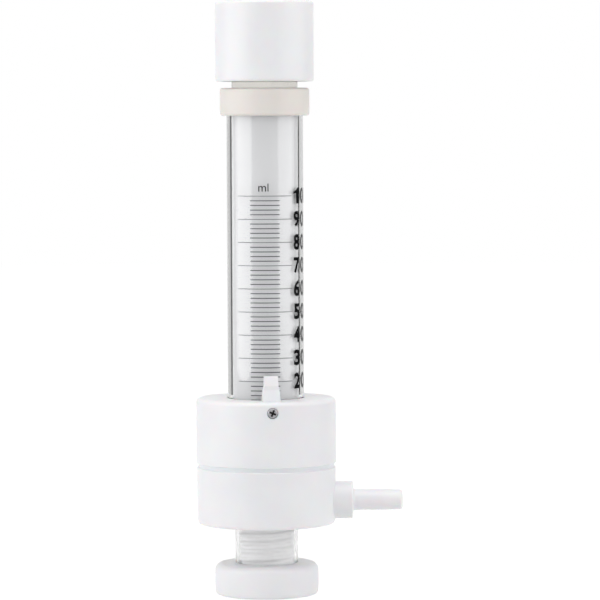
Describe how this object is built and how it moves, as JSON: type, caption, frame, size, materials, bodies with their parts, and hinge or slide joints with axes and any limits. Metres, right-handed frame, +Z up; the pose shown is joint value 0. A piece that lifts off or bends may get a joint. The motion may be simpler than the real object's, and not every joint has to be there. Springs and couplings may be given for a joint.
{
  "type": "bottle-top dosing dispenser",
  "caption": "Bottle-top dosing dispenser: graduated glass cylinder, knob-driven piston, caged ball valves, side hose nipple and threaded bottle adapter.",
  "frame": {"origin": "centre of the bottle adapter's mouth, at the lowest plane of the object", "axes": "+Z up along the piston's axis, +X along the outlet nipple, -Y the graduated front"},
  "size_m": [0.1036, 0.0706, 0.2982],
  "materials": {
    "white_moulding": "smooth white polypropylene",
    "cream_moulding": "warm off-white acetal",
    "natural_moulding": "natural polypropylene",
    "clear_glass": "clear borosilicate glass",
    "ground_glass": "ground white glass",
    "ptfe": "white fluoropolymer",
    "seal_rubber": "black elastomer",
    "washer_rubber": "pale grey elastomer",
    "ceramic_ball": "polished ceramic",
    "steel": "stainless steel"
  },
  "bodies": {
    "housing": {"valve_block": "white_moulding", "clamp_cover": "white_moulding", "index_tab": "white_moulding", "index_tab_screw": "steel", "chamber_insert": "ptfe", "suction_seat": "ptfe", "suction_cage": "natural_moulding", "discharge_seat": "ptfe", "discharge_spring": "steel", "outlet_nipple": "white_moulding", "outlet_seal_ring": "seal_rubber", "neck_stub": "white_moulding", "neck_sleeve": "natural_moulding", "neck_seal_ring": "seal_rubber", "suction_spigot": "natural_moulding", "measuring_cylinder": "clear_glass", "cylinder_collar": "cream_moulding", "piston_guide_ring": "ptfe", "cylinder_gasket": "ptfe", "cylinder_foot_ring": "ptfe"},
    "plunger": {"knob": "white_moulding", "piston_head": "cream_moulding", "piston_head_ring": "seal_rubber", "piston_tube": "ground_glass"},
    "suction_ball": {"suction_ball": "ceramic_ball"},
    "discharge_ball": {"discharge_ball": "ceramic_ball"},
    "adapter_washer": {"adapter_washer": "washer_rubber"},
    "bottle_adapter": {"bottle_adapter": "white_moulding"}
  },
  "joints": [
    {"name": "piston_slide", "type": "slide", "parent": "housing", "child": "plunger", "axis": [0, 0, 1], "range_m": [0, 0.1155]},
    {"name": "suction_ball_lift", "type": "slide", "parent": "housing", "child": "suction_ball", "axis": [0, 0, 1], "range_m": [0, 0.0018]},
    {"name": "discharge_ball_lift", "type": "slide", "parent": "housing", "child": "discharge_ball", "axis": [1, 0, 0], "range_m": [0, 0.0015], "stiffness_N_per_m": 60, "springref_m": -0.002, "deforming": ["discharge_spring"]},
    {"name": "adapter_travel", "type": "slide", "parent": "housing", "child": "adapter_washer", "axis": [0, 0, 1], "range_m": [-0.006, 0]},
    {"name": "adapter_turn", "type": "hinge", "parent": "adapter_washer", "child": "bottle_adapter", "pos_m": [0, 0, 0], "axis": [0, 0, 1], "range_deg": [-540, 0]}
  ],
  "couplings": [
    {"joint": "adapter_travel", "follows": "adapter_turn", "m_per_rad": 0.00063662}
  ]
}
